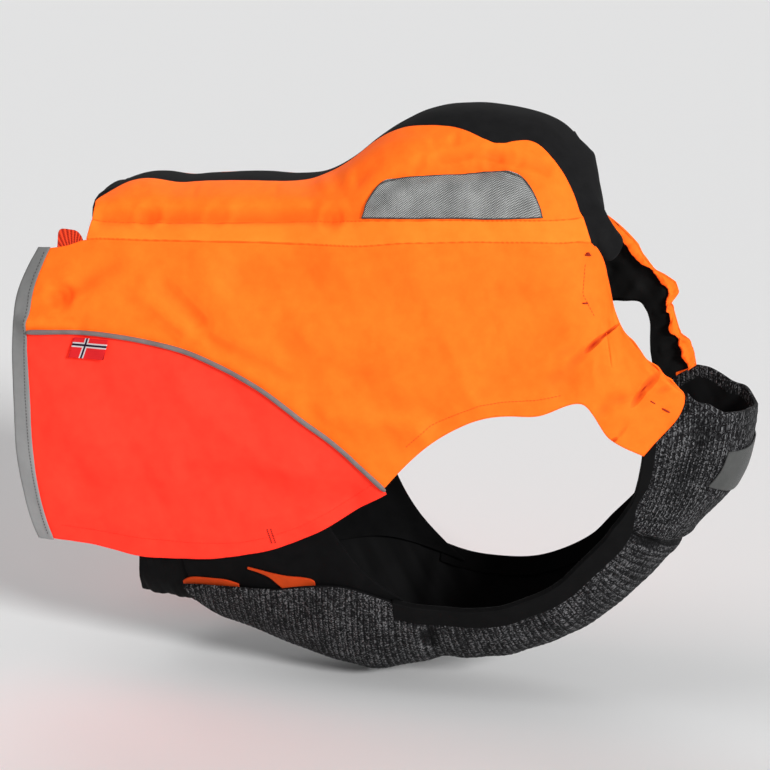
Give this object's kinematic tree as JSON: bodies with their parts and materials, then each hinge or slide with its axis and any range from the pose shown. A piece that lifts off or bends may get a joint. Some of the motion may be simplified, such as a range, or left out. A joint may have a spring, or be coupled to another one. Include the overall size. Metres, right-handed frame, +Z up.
{
  "type": "dog hunting vest",
  "caption": "Filled-out protective vest for a dog: arched back and flank panels, shoulder straps, knit breast collar and belly panel, open neck, leg openings and rear.",
  "frame": {"origin": "on the dog's back, at the underside of the back strip in the middle of the vest, where the vest rests on its wearer", "axes": "+X towards the neck, +Y towards the dog's left, +Z up"},
  "size_m": [0.5089, 0.1822, 0.4047],
  "materials": {
    "orange_shell": "close woven high-visibility orange shell cloth",
    "red_shell": "close woven fluorescent red shell cloth",
    "black_stretch": "smooth matt stretch cloth",
    "black_lining": "matt woven lining",
    "black_binding": "smooth elastic binding",
    "grey_knit": "dark melange rib knit",
    "reflective_tape": "grey retroreflective tape",
    "reflective_mesh": "grey reflective cloth with a diagonal weave",
    "label_weave": "woven label",
    "loop_elastic": "ribbed elastic"
  },
  "bodies": {
    "root": {"back_strip": "black_stretch", "main_panel_right": "orange_shell", "main_panel_left": "orange_shell", "upper_panel_right": "orange_shell", "upper_panel_left": "orange_shell", "zip_band_right": "orange_shell", "zip_band_left": "orange_shell", "flank_panel_right": "red_shell", "flank_panel_left": "red_shell", "piping_right": "reflective_tape", "piping_left": "reflective_tape", "rear_tape_right": "reflective_tape", "rear_tape_left": "reflective_tape", "mesh_patch_right": "reflective_mesh", "mesh_patch_left": "reflective_mesh", "lining_right": "black_lining", "lining_left": "black_lining", "neck_hem_right": "orange_shell", "neck_hem_left": "orange_shell", "leg_binding_right": "black_binding", "leg_binding_left": "black_binding", "side_gusset_right": "black_stretch", "side_gusset_left": "black_stretch", "belly_edge_strip_right": "orange_shell", "belly_edge_strip_left": "orange_shell", "belly_edge_flap_right": "orange_shell", "belly_edge_flap_left": "orange_shell", "breast_collar": "grey_knit", "belly_panel": "grey_knit", "rear_belly_piece": "black_stretch", "breast_patch": "reflective_tape", "flag_label": "label_weave", "pull_loop": "loop_elastic"}
  },
  "joints": []
}
